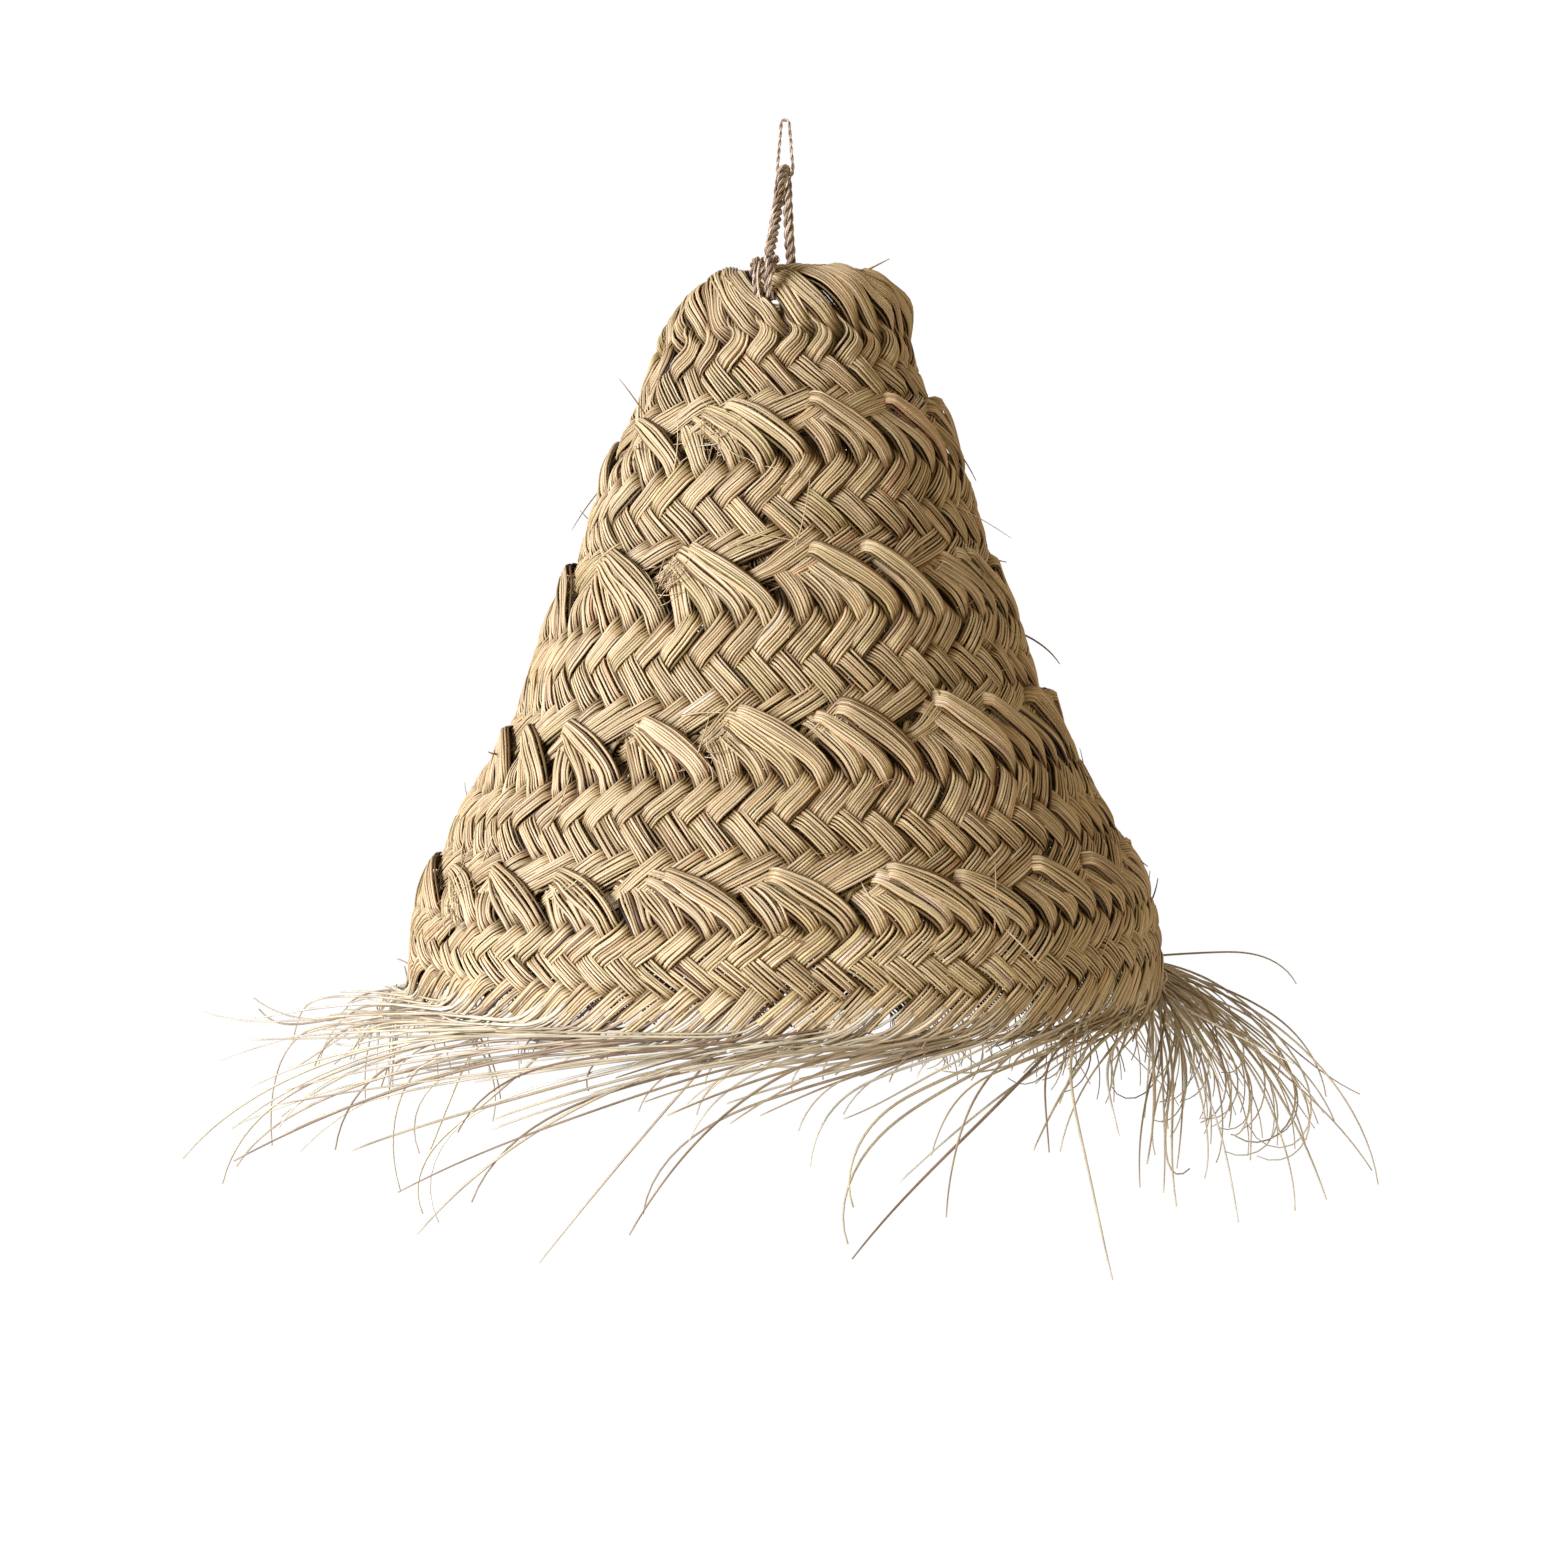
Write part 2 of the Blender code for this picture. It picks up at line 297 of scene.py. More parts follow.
def tube_mesh(name, lines, normals, radius, looks, sides, flatness=1.0):
    """Closed tubes along many lines of equally many points.

    lines, normals and looks are (tubes, points, 3), and radius is (tubes, points).
    """
    tubes, count, _ = lines.shape
    run = np.gradient(lines, axis=1)
    run /= np.linalg.norm(run, axis=2)[..., None] + 1e-12
    side = np.cross(run, normals)
    side /= np.linalg.norm(side, axis=2)[..., None] + 1e-12
    up = np.cross(side, run)
    angles = 2 * math.pi * np.arange(sides) / sides
    wide = side[:, :, None, :] * np.cos(angles)[None, None, :, None]
    tall = up[:, :, None, :] * np.sin(angles)[None, None, :, None] * flatness
    verts = lines[:, :, None, :] + (wide + tall) * radius[:, :, None, None]
    base = (np.arange(tubes) * count * sides)[:, None, None]
    ring = (np.arange(count - 1) * sides)[None, :, None]
    here = base + ring + np.arange(sides)[None, None, :]
    after = base + ring + ((np.arange(sides) + 1) % sides)[None, None, :]
    quads = np.stack([here, after, after + sides, here + sides], axis=-1).reshape(-1, 4)
    start = (np.arange(tubes) * count * sides)[:, None] + np.arange(sides)[::-1][None, :]
    end = start[:, ::-1] + (count - 1) * sides
    caps = np.concatenate([start, end])
    corners = np.concatenate([quads.ravel(), caps.ravel()]).astype(np.int32)
    starts = np.concatenate([np.arange(len(quads)) * 4,
                             len(quads) * 4 + np.arange(len(caps)) * sides])
    mesh = bpy.data.meshes.new(name)
    mesh.vertices.add(verts.size // 3)
    mesh.vertices.foreach_set("co", verts.astype(np.float32).ravel())
    mesh.loops.add(len(corners))
    mesh.loops.foreach_set("vertex_index", corners)
    mesh.polygons.add(len(starts))
    mesh.polygons.foreach_set("loop_start", starts.astype(np.int32))
    mesh.update(calc_edges=True)
    mesh.shade_smooth()
    paint = np.ones((tubes, count, sides, 4), np.float32)
    paint[..., :3] = looks[:, :, None, :]
    paint[..., 3] = (np.arange(sides) / sides)[None, None, :]
    layer = mesh.attributes.new("blade", "FLOAT_COLOR", "POINT")
    layer.data.foreach_set("color", paint.ravel())
    add_strip_map(mesh, tubes, count, sides)
    mesh.validate()
    return mesh


def add_strip_map(mesh, tubes, count, sides):
    """A texture map that gives each tube an upright strip of its own, tall and narrow."""
    columns = min(tubes, math.ceil(math.sqrt(tubes * 40)))
    rows = math.ceil(tubes / columns)
    column = np.arange(tubes) % columns
    row = np.arange(tubes) // columns
    left = (column + 0.15) / columns
    wide = 0.7 / columns
    low = (row + 0.02) / rows
    tall = 0.96 / rows
    u0 = left[:, None, None] + wide * (np.arange(sides) / sides)[None, None, :]
    u1 = left[:, None, None] + wide * ((np.arange(sides) + 1) / sides)[None, None, :]
    v0 = low[:, None, None] + tall * (np.arange(count - 1) / (count - 1))[None, :, None]
    v1 = low[:, None, None] + tall * ((np.arange(count - 1) + 1) / (count - 1))[None, :, None]
    u0, u1, v0, v1 = np.broadcast_arrays(u0, u1, v0, v1)
    quads = np.stack([np.stack([u0, v0], -1), np.stack([u1, v0], -1),
                      np.stack([u1, v1], -1), np.stack([u0, v1], -1)], axis=-2)
    cap_left = np.tile(left, 2)[:, None] + wide * (np.arange(sides) / sides)[None, :]
    cap_low = np.concatenate([low, low + tall])[:, None] + np.zeros(sides)[None, :]
    cap_uv = np.stack([cap_left, cap_low], axis=-1)
    layer = mesh.uv_layers.new(name="OFBake")
    layer.data.foreach_set("uv", np.concatenate([quads.ravel(), cap_uv.ravel()]).astype(np.float32))


def add_piece(name, mesh, material, body, slot, *nodes):
    piece = bpy.data.objects.new(name, mesh)
    bpy.context.scene.collection.objects.link(piece)
    mesh.materials.append(material)
    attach(piece, body)
    if nodes:
        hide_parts(*nodes)
    return piece


# ---------------------------------------------------------------- materials


def add_math(tree, operation, value, by=None):
    """The result of a Math node on a socket and, where it takes two, a number or a socket."""
    node = tree.nodes.new("ShaderNodeMath")
    node.operation = operation
    tree.links.new(value, node.inputs[0])
    if isinstance(by, float):
        node.inputs[1].default_value = by
    elif by is not None:
        tree.links.new(by, node.inputs[1])
    return node.outputs[0]


def add_map_range(tree, value, source, target):
    """The result of a Map Range node from one pair of numbers to another."""
    node = tree.nodes.new("ShaderNodeMapRange")
    for end, number in zip(("From Min", "From Max", "To Min", "To Max"), (*source, *target)):
        node.inputs[end].default_value = number
    tree.links.new(value, node.inputs["Value"])
    return node.outputs[0]


def add_noise(tree, vector, scale, detail):
    """The value of a Noise Texture."""
    node = tree.nodes.new("ShaderNodeTexNoise")
    node.inputs["Scale"].default_value = scale
    node.inputs["Detail"].default_value = detail
    tree.links.new(vector, node.inputs["Vector"])
    return node.outputs["Fac"]


def straw_material(name, stops, roughness, streak=0.16, underside=0.45):
    """Dried grass: each blade has its own colour, with streaks and stains along it, and painted
    shade on its sides, its underside and in its hollows.
    """
    material = bpy.data.materials.new(name)
    material.use_nodes = True
    tree = material.node_tree
    nodes, links = tree.nodes, tree.links
    shader = nodes["Principled BSDF"]
    shader.inputs["Roughness"].default_value = roughness
    shader.inputs["Specular IOR Level"].default_value = 0.35
    blade = nodes.new("ShaderNodeAttribute")
    blade.attribute_name = "blade"
    parts = nodes.new("ShaderNodeSeparateColor")
    links.new(blade.outputs["Color"], parts.inputs["Color"])

    ramp = nodes.new("ShaderNodeValToRGB")
    for index, (place, colour) in enumerate(stops):
        stop = ramp.color_ramp.elements[index] if index < 2 else ramp.color_ramp.elements.new(place)
        stop.position = place
        stop.color = (*colour, 1)
    links.new(parts.outputs["Red"], ramp.inputs["Fac"])

    where = nodes.new("ShaderNodeCombineXYZ")
    links.new(add_math(tree, "MULTIPLY", parts.outputs["Blue"], STAIN_SCALE), where.inputs["X"])
    links.new(add_math(tree, "MULTIPLY", parts.outputs["Red"], STAIN_SPREAD), where.inputs["Y"])
    stains = add_noise(tree, where.outputs[0], 1.0, 3.0)
    stained = add_map_range(tree, stains, (0.30, 0.70), (1.0 - 2.2 * streak, 1.0 + streak))

    # Painted shade: depth darkens a blade where it lies in a hollow or under other blades.
    depth = add_map_range(tree, parts.outputs["Green"], (0.0, 1.0), (0.27, 1.0))
    # Painted shade darkens a blade's sides and its underside. Alpha goes round it from one side,
    # and is 0.25 on top.
    aside = add_math(tree, "ABSOLUTE",
                     add_math(tree, "SUBTRACT", blade.outputs["Alpha"], 0.25))
    painted_side_shade = add_map_range(tree, aside, (0.04, 0.34), (1.0, underside))
    shaded = add_math(tree, "MULTIPLY", depth, painted_side_shade)
    both = add_math(tree, "MULTIPLY", stained, shaded)
    # Painted shade in hollows is browner as well as darker.
    deepen = nodes.new("ShaderNodeGamma")
    links.new(ramp.outputs["Color"], deepen.inputs["Color"])
    links.new(add_map_range(tree, shaded, (0.15, 1.0), (2.20, 1.0)), deepen.inputs["Gamma"])
    scale = nodes.new("ShaderNodeVectorMath")
    scale.operation = "SCALE"
    links.new(deepen.outputs["Color"], scale.inputs[0])
    links.new(both, scale.inputs["Scale"])
    links.new(scale.outputs[0], shader.inputs["Base Color"])

    coords = nodes.new("ShaderNodeTexCoord")
    bump = nodes.new("ShaderNodeBump")
    bump.inputs["Strength"].default_value = 0.35
    bump.inputs["Distance"].default_value = 0.0003
    links.new(add_noise(tree, coords.outputs["Object"], GRAIN_SCALE, 2.0), bump.inputs["Height"])
    links.new(bump.outputs[0], shader.inputs["Normal"])
    return material


STRAW_STOPS = (
    (0.00, (0.150, 0.070, 0.026)),
    (0.05, (0.340, 0.205, 0.090)),
    (0.16, (0.500, 0.345, 0.165)),
    (0.40, (0.640, 0.455, 0.235)),
    (0.60, (0.730, 0.550, 0.315)),
    (0.74, (0.570, 0.435, 0.200)),
    (0.83, (0.690, 0.500, 0.255)),
    (0.92, (0.600, 0.350, 0.175)),
    (1.00, (0.820, 0.690, 0.490)),
)
FRINGE_STOPS = (
    (0.00, (0.300, 0.190, 0.105)),
    (0.20, (0.560, 0.420, 0.250)),
    (0.50, (0.720, 0.580, 0.370)),
    (0.75, (0.600, 0.480, 0.270)),
    (1.00, (0.820, 0.720, 0.530)),
)
ROPE_STOPS = (
    (0.00, (0.250, 0.150, 0.080)),
    (0.35, (0.580, 0.430, 0.285)),
    (0.75, (0.770, 0.600, 0.420)),
    (1.00, (0.860, 0.730, 0.550)),
)
TWINE_STOPS = (
    (0.00, (0.480, 0.330, 0.215)),
    (0.50, (0.640, 0.480, 0.340)),
    (1.00, (0.760, 0.620, 0.470)),
)


# ---------------------------------------------------------------- the plait


def waves(azimuth, seed, lowest, highest, size):
    """A random wavy number round the cone, about this large."""
    draw = np.random.default_rng(seed)
    total = np.zeros_like(azimuth)
    for turns in range(lowest, highest):
        total += draw.normal() * np.sin(turns * azimuth + draw.uniform(0, 2 * math.pi))
    return size * total / math.sqrt((highest - lowest) / 2)


def wander(draw, turns, shape, along):
    """A random wavy number along each of many lines, with smaller quick waves than slow ones."""
    total = 0.0
    for number in turns:
        phase = draw.uniform(0, 2 * math.pi, shape)
        total = total + draw.normal(0, 1, shape) * np.sin(
            2 * math.pi * number * along / along[-1] + phase) / number
    return total


def seam_groups(seam):
    """How many groups of bundles lie along a seam."""
    return round(BUNDLES[max(seam, 0)] / GROUP)


def seam_phase(seam, azimuth):
    """How far a place along a seam lies through its group of bundles, from 0 to 1."""
    turns = seam_groups(seam) * azimuth / (2 * math.pi) + waves(azimuth, 40 + seam, 2, 9, 0.13)
    return turns - np.floor(turns)


# One bundle's way through a ring, in bundles along and rows down. It starts with a turn at the
# lower seam, or raw at the rim.
LOWER_TURN = ((-5.05, 3.40), (-4.88, 3.72), (-4.62, 3.97), (-4.25, 4.07), (-3.80, 3.90),
              (-3.15, 3.44))
RAW_END = ((-3.62, 4.10),)
CLIMB = ((-2.50, 3.00), (-1.50, 2.00), (-0.50, 1.00))
UPPER_TURN = ((-0.25, 0.55), (-0.10, 0.15), (0.12, -0.15), (0.48, -0.22), (0.95, -0.07),
              (1.40, 0.22), (1.75, 0.60))
DESCENT = ((2.00, 1.00), (3.00, 2.00), (4.00, 3.00), (4.60, 3.60))


def over_under(crossing):
    """1 where a bundle lies over the others and -1 where under, two crossings at a time."""
    return np.tanh(2.6 * np.sin(math.pi * (crossing + 0.5) / 2))


def plait_lines(ring):
    """All the blades of one ring: places, outward directions, looks and the draw they used."""
    count = BUNDLES[ring]
    hemmed = ring < len(SEAMS)
    edges = np.array(CROWN_ROW_EDGES if ring == 0 else ROW_EDGES)
    rows = np.arange(5.0)
    rows_wide = np.concatenate([[-1.0], rows, [5.0]])
    edges_wide = np.concatenate([[-0.25], edges, [1.25]])
    azimuths = np.linspace(0, 2 * math.pi, 60)
    upper = seam_distance(ring - 1, azimuths).mean()
    lower = seam_distance(ring, azimuths).mean()
    width = lower - upper

    path = smooth_line((LOWER_TURN if hemmed else RAW_END) + CLIMB + UPPER_TURN + DESCENT, 14)
    flat = np.stack([path[:, 0] * USUAL_PITCH,
                     np.interp(path[:, 1], rows_wide, edges_wide) * width], axis=1)
    marks = distances_along(flat)
    samples = np.linspace(0, marks[-1], PATH_POINTS)
    x = np.interp(samples, marks, path[:, 0])
    row = np.interp(samples, marks, path[:, 1])
    share = np.interp(row, rows_wide, edges_wide)
    low_turn = samples[np.argmax(row[:PATH_POINTS // 2])] if hemmed else -1.0
    top_turn = samples[np.argmin(row)]

    pitch = 2 * math.pi * wall.radius_at(upper + share * width) / count
    run = np.stack([np.gradient(x) * pitch, np.gradient(share) * width], axis=1)
    run /= np.linalg.norm(run, axis=1)[:, None]
    across = np.stack([-run[:, 1], run[:, 0]], axis=1)

    rising = smooth(low_turn - TURNING, low_turn + TURNING, samples)
    falling = smooth(top_turn - TURNING, top_turn + TURNING, samples)

    def over_or_under(along, down, bundle):
        """Whether a point of a bundle lies over the others, by the crossings it has passed."""
        tail = over_under(np.clip(along + down - 0.5 - (bundle - 8), 6.3, 7.0))
        climbing = -over_under(np.clip(bundle - along + down, 0.2, 7.0))
        falls = over_under(np.maximum(along + down - 0.5 - (bundle + 1), 0.2))
        lift = tail * (1 - rising) + climbing * rising
        return lift * (1 - falling) + falls * falling

    draw = np.random.default_rng(100 + ring)
    shape = (count, BLADES + SPARE_BLADES, 1)
    bundle = np.arange(count)[:, None, None]
    start = draw.uniform(0, 1)
    lateral = draw.normal(0, 0.08, (count, 1, 1))
    wide = draw.uniform(0.92, 1.14, (count, 1, 1))
    places_across = [*(np.arange(BLADES) - (BLADES - 1) / 2), -0.56 * BLADES, 0.56 * BLADES]
    place = np.array(places_across)[None, :, None]
    spare = np.abs(place) > BLADES / 2
    under = 0.5 - 0.5 * over_or_under(x, row, 0)
    arch = smooth(1.2, 0.1, row) * falling
    apart = smooth(0.1, 0.5, row) * smooth(1.5, 0.9, row) * falling
    fan = 1.0 + 0.16 * arch * draw.uniform(0.2, 1.8, (count, 1, 1)) + 0.16 * under - 0.24 * apart
    if ring > 0:
        fan = fan * (1 - 0.45 * smooth(0.50, -0.15, row))
    if hemmed:
        fan = fan * (1 - 0.35 * smooth(3.50, 4.05, row))
    else:
        fan = fan * (1 - 0.13 * smooth(2.50, 3.60, row))
    astray = wander(draw, (1.3, 2.9, 5.3), shape, samples)
    sway = wander(draw, (1.1, 2.3), (count, 1, 1), samples)
    offset = place * BLADE_SPACING * fan * wide + astray * BLADE_WANDER + sway * BUNDLE_SWAY

    # Bundles lean towards the left end of their group at each seam.
    top_phase = seam_phase(ring - 1, 2 * math.pi * (bundle + 0.5 + start) / count)
    low_phase = seam_phase(ring, 2 * math.pi * (bundle - 4.3 + start) / count)
    top_pull = smooth(0.95, -0.15, row)
    low_pull = smooth(2.95, 4.0, row) * (1 - rising * (row < 2.5)) * (samples < top_turn) * hemmed
    gathered = -top_phase * GATHER_TOP * count / seam_groups(ring - 1) * top_pull
    gathered = gathered - low_phase * GATHER_BOTTOM * count / seam_groups(ring) * low_pull
    if ring == 0:
        gathered = gathered - CROWN_SWEEP * smooth(1.6, -0.1, row)
    x_all = bundle + lateral + x + gathered + offset * across[:, 0] / pitch
    share_all = share + offset * across[:, 1] / width
    row_all = np.interp(share_all, edges_wide, rows_wide)

    lift = over_or_under(x_all - gathered, row_all, bundle)
    bulge = BUNDLE_CROWN * (1 - (2 * place / BLADES) ** 2) - 0.0011 * spare
    rise = BUNDLE_RISE * lift + bulge * (0.5 + 0.5 * lift)
    rise = rise + 0.00024 * draw.normal(0, 1, shape) + 0.00014 * astray
    climb_depth = smooth(1.1, 0.5, row_all) * (1 - falling)
    rise = rise - 0.0030 * climb_depth + (0.0006 + 0.0018 * top_phase) * arch

    azimuth = 2 * math.pi * (x_all + start) / count
    top = seam_distance(ring - 1, azimuth)
    bottom = seam_distance(ring, azimuth)
    distance = top + share_all * (bottom - top)
    near_top = smooth(0.36, 0.0, share_all)
    near_bottom = smooth(0.62, 1.0, share_all)
    distance = distance - (SEAM_TUCK + SCALLOP * (2 * top_phase - 1)) * near_top * (ring > 0)
    distance = distance + (SEAM_LAP + SCALLOP * (1 - 2 * low_phase)) * near_bottom * hemmed
    distance = distance + waves(azimuth, 60 + ring, 3, 14, 0.0008) * np.sin(math.pi * share_all)
    lip = UPPER_EDGE_LIP * (1 - 2 * share_all) + 4 * BELLY * share_all * (1 - share_all)
    if ring == 0:
        lip = -UPPER_EDGE_LIP * np.clip(share_all, 0, 1) ** 3
        for hitch in HITCH_TURNS:
            aside = np.angle(np.exp(1j * (azimuth - math.radians(hitch))))
            press = np.exp(-(aside / math.radians(HITCH_PRESS_WIDTH)) ** 2)
            lip = lip - HITCH_PRESS * press * smooth(1.5, 0.6, row_all)
    else:
        shown = smooth(0.30, 0.85, top_phase)
        lip = lip + (-0.0088 + 0.0072 * shown * falling) * smooth(0.24, -0.04, share_all)
    if hemmed:
        lip = lip + 0.0020 * smooth(0.70, 0.95, share_all)
    rise = rise + lip - PLAIT_THICKNESS / 2 + 0.0004
    rise = rise + waves(azimuth, 80 + ring, 4, 20, 0.0007)
    places, outward = wall.points(distance, azimuth, rise)

    tint = np.clip(draw.uniform(0, 1, shape) * 0.62
                   + draw.uniform(0, 0.38, (count, 1, 1)), 0, 1)
    # Painted shade: a blade's depth is lower where it dips under the others, where it climbs low
    # into the seam and where it is a spare lying lower, so its colour is darker there.
    hollow = np.clip(smooth(-1.0, 0.9, lift) - 0.7 * climb_depth - 0.75 * spare, 0, 1)
    return places, outward, looks_of(tint, hollow, samples + tint * 3), draw


def make_plait(material):
    """Each ring's blades, in sectors. Gives the places and outward directions of each ring."""
    rings = []
    for ring, count in enumerate(BUNDLES):
        places, outward, looks, draw = plait_lines(ring)
        shape = (count, BLADES + SPARE_BLADES, 1)
        thick = BLADE_RADIUS * draw.triangular(0.70, 0.98, 1.36, shape)
        ends = np.sin(math.pi * np.clip(np.linspace(0, 1, PATH_POINTS), 0.004, 0.996)) ** 0.15
        if ring == len(BUNDLES) - 1:
            ends = np.where(np.arange(PATH_POINTS) < PATH_POINTS // 2, 1.0, ends)
        radius = thick * ends
        sectors = math.ceil(count / SECTOR_BUNDLES)
        for sector in range(sectors):
            pick = slice(sector * count // sectors, (sector + 1) * count // sectors)
            lines, normals, paint = (part[pick].reshape(-1, PATH_POINTS, 3)
                                     for part in (places, outward, looks))
            name = f"plait_ring_{ring + 1}_blades_{sector + 1}"
            mesh = tube_mesh(name, lines, normals, radius[pick].reshape(-1, PATH_POINTS), paint,
                             BLADE_SIDES, BLADE_FLATNESS)
            add_piece(name, mesh, material, "cone", "esparto_plait", f"plait_ring_{ring + 1}")
        rings.append([part.reshape(-1, PATH_POINTS, 3) for part in (places, outward)])
    return rings


# ---------------------------------------------------------------- loose blades


def taper_to_tip(count, thinnest, power):
    """A radius share that falls from 1 at the root to this at the tip."""
    return 1 - (1 - thinnest) * np.linspace(0, 1, count) ** power


def sprung_blades(rings, reach, draw):
    """Blade ends that have sprung out of the plait: line, outward direction and radii of each."""
    for ring, (places, outward) in enumerate(rings):
        for _ in range(STRAY_BLADES[ring]):
            blade = draw.integers(len(places))
            index = draw.integers(4, PATH_POINTS - 5)
            way = draw.choice((-1, 1))
            root = places[blade, index]
            out = outward[blade, index]
            run = places[blade, index + 3] - places[blade, index - 3]
            run *= way / np.linalg.norm(run)
            length = draw.uniform(0.010, 0.038) * (0.45 if ring == 0 else 1)
            aside = np.cross(run, out) * draw.normal(0, 0.35)
            lift = out * draw.uniform(0.10, 0.45)
            bend = out * draw.uniform(-0.25, 0.12) + np.cross(run, out) * draw.normal(0, 0.2)
            line = root + length * (reach * (run + aside + lift) + reach ** 2 * bend)
            thick = draw.uniform(0.00035, 0.00070)
            yield line - out * 0.0004, out, thick * taper_to_tip(STRAY_POINTS, 0.35, 1.6)


def tangle_fibres(reach, draw):
    """The fibres of the frayed spots: line, outward direction and radii of each."""
    for seam, azimuth, drop in TANGLES:
        for _ in range(TANGLE_FIBRES):
            turn = math.radians(azimuth) + draw.normal(0, 0.030)
            distance = seam_distance(seam, np.array([turn])) + drop + draw.normal(0, 0.005)
            place, out = wall.points(distance, np.array([turn]), draw.uniform(-0.0010, 0.0035))
            root, out = place[0], out[0]
            run = np.cross(out, (math.cos(turn), math.sin(turn), 0.001)) + draw.normal(0, 1, 3)
            run -= out * np.dot(run, out)
            run /= np.linalg.norm(run)
            side = np.cross(run, out) * draw.normal(0, 0.9)
            length = draw.uniform(0.007, 0.020)
            rise = out * draw.uniform(0.0, 0.25)
            line = root + length * (reach * (run + rise) + reach ** 2 * (side - rise))
            thick = draw.uniform(0.00022, 0.00045)
            yield line, out, thick * taper_to_tip(STRAY_POINTS, 0.5, 1.6)


def make_stray_blades(rings, material):
    """The sprung blades and the frayed spots, as one piece."""
    draw = np.random.default_rng(301)
    reach = np.linspace(0, 1, STRAY_POINTS)[:, None]
    strays = [*sprung_blades(rings, reach, draw), *tangle_fibres(reach, draw)]
    lines, outs, radii = (np.array(part) for part in zip(*strays))
    normals = np.broadcast_to(outs[:, None, :], lines.shape)
    tint = draw.uniform(0.1, 1, (len(lines), 1))
    looks = looks_of(tint, 1.0, np.linspace(0, 0.04, STRAY_POINTS) + tint * 3)
    mesh = tube_mesh("stray_blades", lines, normals, radii, looks, THIN_SIDES)
    add_piece("stray_blades", mesh, material, "cone", "esparto_plait")


def fringe_lines(roots, starts, draw):
    """Blades that leave the rim along their bundle, sweep sideways and droop."""
    count = len(roots)
    azimuth = np.arctan2(roots[:, 1], roots[:, 0])
    sideways = np.stack([np.sin(azimuth), -np.cos(azimuth), np.zeros(count)], axis=1)
    outward = np.stack([np.cos(azimuth), np.sin(azimuth), np.zeros(count)], axis=1)
    degrees = np.degrees(azimuth)
    front = smooth(-165, -140, degrees) * smooth(-55, -85, degrees)
    near_right = smooth(-80, -55, degrees) * smooth(15, -10, degrees)
    far_right = smooth(-12, 12, degrees) * smooth(110, 80, degrees)
    right = near_right + far_right
    first_down = np.arcsin(np.clip(-starts[:, 2], -1, 1)) * (1 - 0.8 * far_right)
    kind = draw.uniform(0, 1, count)
    long_one = (kind < LONG_SHARE) & (front > 0.4) & (degrees < -72)
    down = np.radians(draw.normal(3, 5, count) + draw.normal(11, 13, count) * far_right)
    spread = np.radians(draw.normal(6, 8, count) + draw.normal(44, 17, count) * far_right
                        + draw.normal(0, 12, count) * near_right)
    hug = draw.uniform(0.0, 0.075, count) * (1 - 0.6 * far_right)
    curl = draw.normal(0, 1.4, count) + draw.normal(-1.0, 5.0, count) * right
    droop = np.abs(draw.normal(0.3, 1.3, count)) + draw.uniform(0.0, 9.0, count) * far_right
    droop = droop + draw.uniform(0.0, 1.8, count) * near_right
    leader = np.arange(count) // LOCK * LOCK
    down, spread, curl, droop = (0.5 * value + 0.5 * value[leader]
                                 for value in (down, spread, curl, droop))
    down = np.where(long_one, np.radians(draw.normal(40, 5, count)), down)
    droop = np.where(long_one, draw.normal(0.2, 0.7, count), droop)
    late = draw.uniform(-3, 9, count) * (draw.uniform(0, 1, count) < 0.5)
    late = late + draw.uniform(-2, 8, count) * far_right
    sway = draw.normal(0, 0.07, count)
    phase = draw.uniform(0, 6.3, count)
    size = draw.uniform(0, 1, count) ** 1.15
    length = 0.030 + 0.160 * size ** 1.3 + 0.110 * size ** 4
    length = length * (1 + 0.12 * front - 0.30 * near_right + 0.62 * far_right)
    length = np.where(long_one, draw.uniform(0.170, 0.290, count), length)
    for _ in range(FRINGE_TRIES):
        step = length / (FRINGE_POINTS - 1)
        here = roots.copy()
        lines = [here]
        for index in range(FRINGE_POINTS - 1):
            gone = step * (index + 0.5)
            away = smooth(0.0, 0.034, gone)
            tail = np.clip(gone / length - 0.55, 0, 1)
            heading = spread * away + curl * gone + sway * np.sin(gone * 38 + phase)
            heading = heading - np.minimum(gone, hug) / RIM_RADIUS
            fall = first_down * (1 - away) + down * away + droop * gone + late * tail ** 2
            level = (sideways * np.cos(heading)[:, None] + outward * np.sin(heading)[:, None])
            turn = level * np.cos(fall)[:, None] - np.array([0, 0, 1.0]) * np.sin(fall)[:, None]
            here = here + turn * step[:, None]
            lines.append(here)
        lines = np.stack(lines, axis=1)
        reach = np.hypot(lines[..., 0], lines[..., 1]).max(axis=1)
        wide = (lines[..., 0].max(axis=1) > FRINGE_RIGHT) | (reach > FRINGE_REACH)
        low = lines[..., 2].min(axis=1) < FRINGE_LOW
        if not (wide | low).any():
            break
        droop = np.where(wide, droop + 1.1, droop)
        length = np.where(wide, length * 0.95, np.where(low, length * 0.88, length))
    return lines, length


